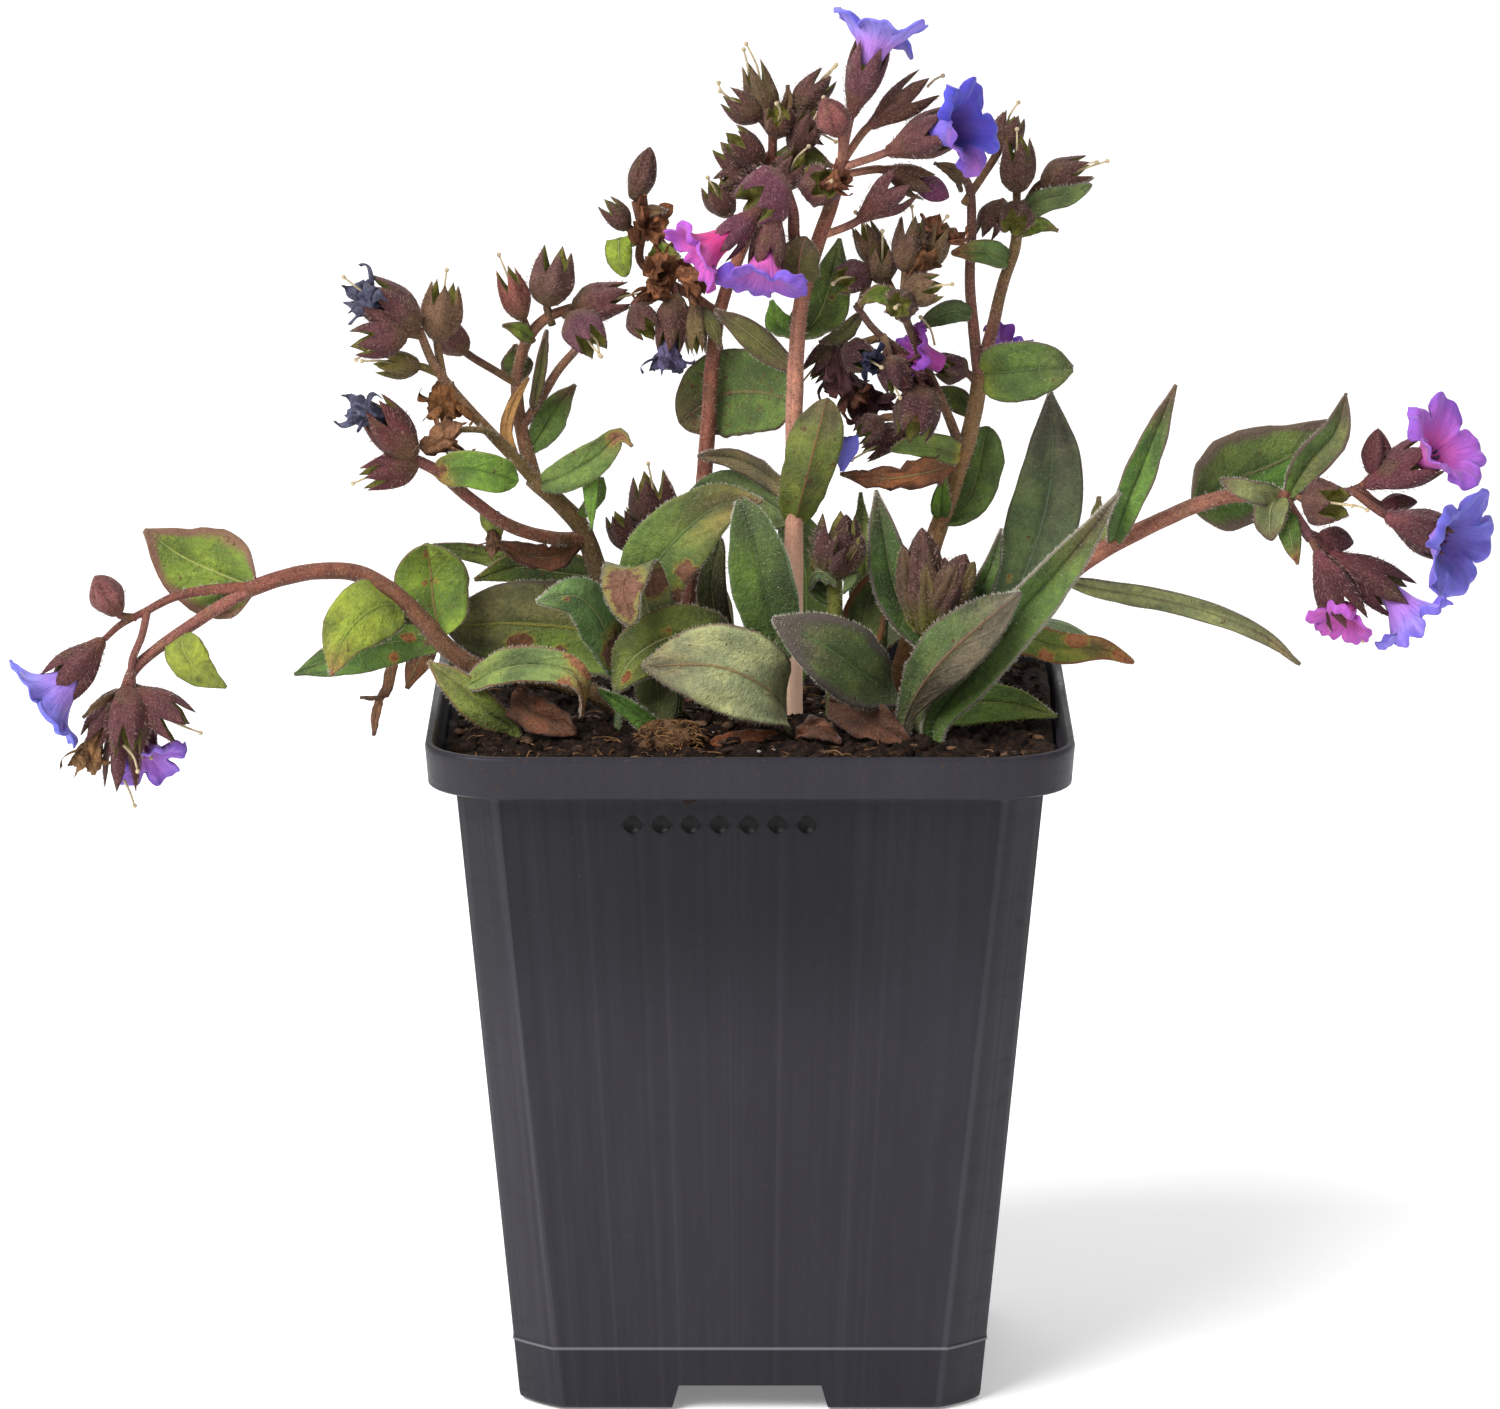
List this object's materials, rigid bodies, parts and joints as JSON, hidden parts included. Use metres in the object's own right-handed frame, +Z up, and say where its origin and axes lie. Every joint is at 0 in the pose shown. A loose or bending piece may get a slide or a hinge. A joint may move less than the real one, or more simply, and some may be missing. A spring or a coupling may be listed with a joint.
{
  "type": "potted lungwort plant",
  "caption": "Flowering lungwort in a square tapered plastic pot with a rim band and notched feet, with upright flower stems, hairy leaves and trailing stems to both sides.",
  "frame": {"origin": "centre of the pot's base, in the plane its four feet stand on, 0.1 mm from the middle of the whole part's width", "axes": "+Z up; +X to the right of someone who looks at the front, along the line of the two trailing stems; +Y towards the back"},
  "size_m": [0.2109, 0.09, 0.1957],
  "materials": {
    "pot_plastic": "dark grey satin injection-moulded plastic with faint ribs, scuffs and soil specks",
    "peat": "dark crumbly peat with light fibres, bark and a few pale grains",
    "stem": "reddish brown to olive hairy stem flesh, with dark purple-brown hairy calyces and green leaves",
    "leaf": "matt green hairy leaf with pale midrib and brown or purple-grey patches",
    "dry_leaf": "dead curled leaf, orange-brown, matt",
    "blue_petal": "soft violet-blue petals, lavender at the throat",
    "pink_petal": "soft magenta-pink petals with violet edges"
  },
  "bodies": {
    "root": {"pot": "pot_plastic", "potting_soil": "peat", "left_blue_flower": "blue_petal", "left_violet_flower": "blue_petal", "hanging_pink_flower": "pink_petal", "hanging_violet_flower": "blue_petal", "top_flower": "blue_petal", "upper_blue_flower": "blue_petal", "middle_violet_flower": "blue_petal", "right_pink_flower": "pink_petal", "right_blue_flower": "blue_petal", "low_pink_flower": "pink_petal", "low_violet_flower": "blue_petal", "purple_bud": "pink_petal", "blue_petal": "blue_petal", "left_trailing_stem": "stem", "left_middle_stem": "stem", "back_middle_stem": "stem", "tall_stem": "stem", "right_upright_stem": "stem", "right_trailing_stem": "stem", "front_bud_shoot": "stem", "hairy_bud": "stem", "broad_left_leaf": "leaf", "left_rim_leaf": "leaf", "pale_bent_leaf": "leaf", "dark_front_leaf": "leaf", "long_folded_leaf": "leaf", "grey_front_leaf": "leaf", "low_right_leaf": "leaf", "brown_tipped_leaf": "leaf", "big_grey_leaf": "leaf", "upright_hairy_leaf": "leaf", "brown_patched_leaf": "leaf", "spotted_small_leaf": "leaf", "drooping_leaf": "leaf", "yellow_low_leaf": "leaf", "small_soil_leaf": "leaf", "brown_edged_leaf": "leaf", "green_upright_leaf": "leaf", "dark_back_leaf": "leaf", "back_left_leaf": "leaf", "back_leaf": "leaf", "back_upright_leaf": "leaf", "back_right_leaf": "leaf", "back_side_leaf": "leaf", "dry_leaf_left": "dry_leaf", "dry_leaf_right": "dry_leaf", "dry_leaf_front": "dry_leaf", "dry_leaf_curl": "dry_leaf"}
  },
  "joints": []
}
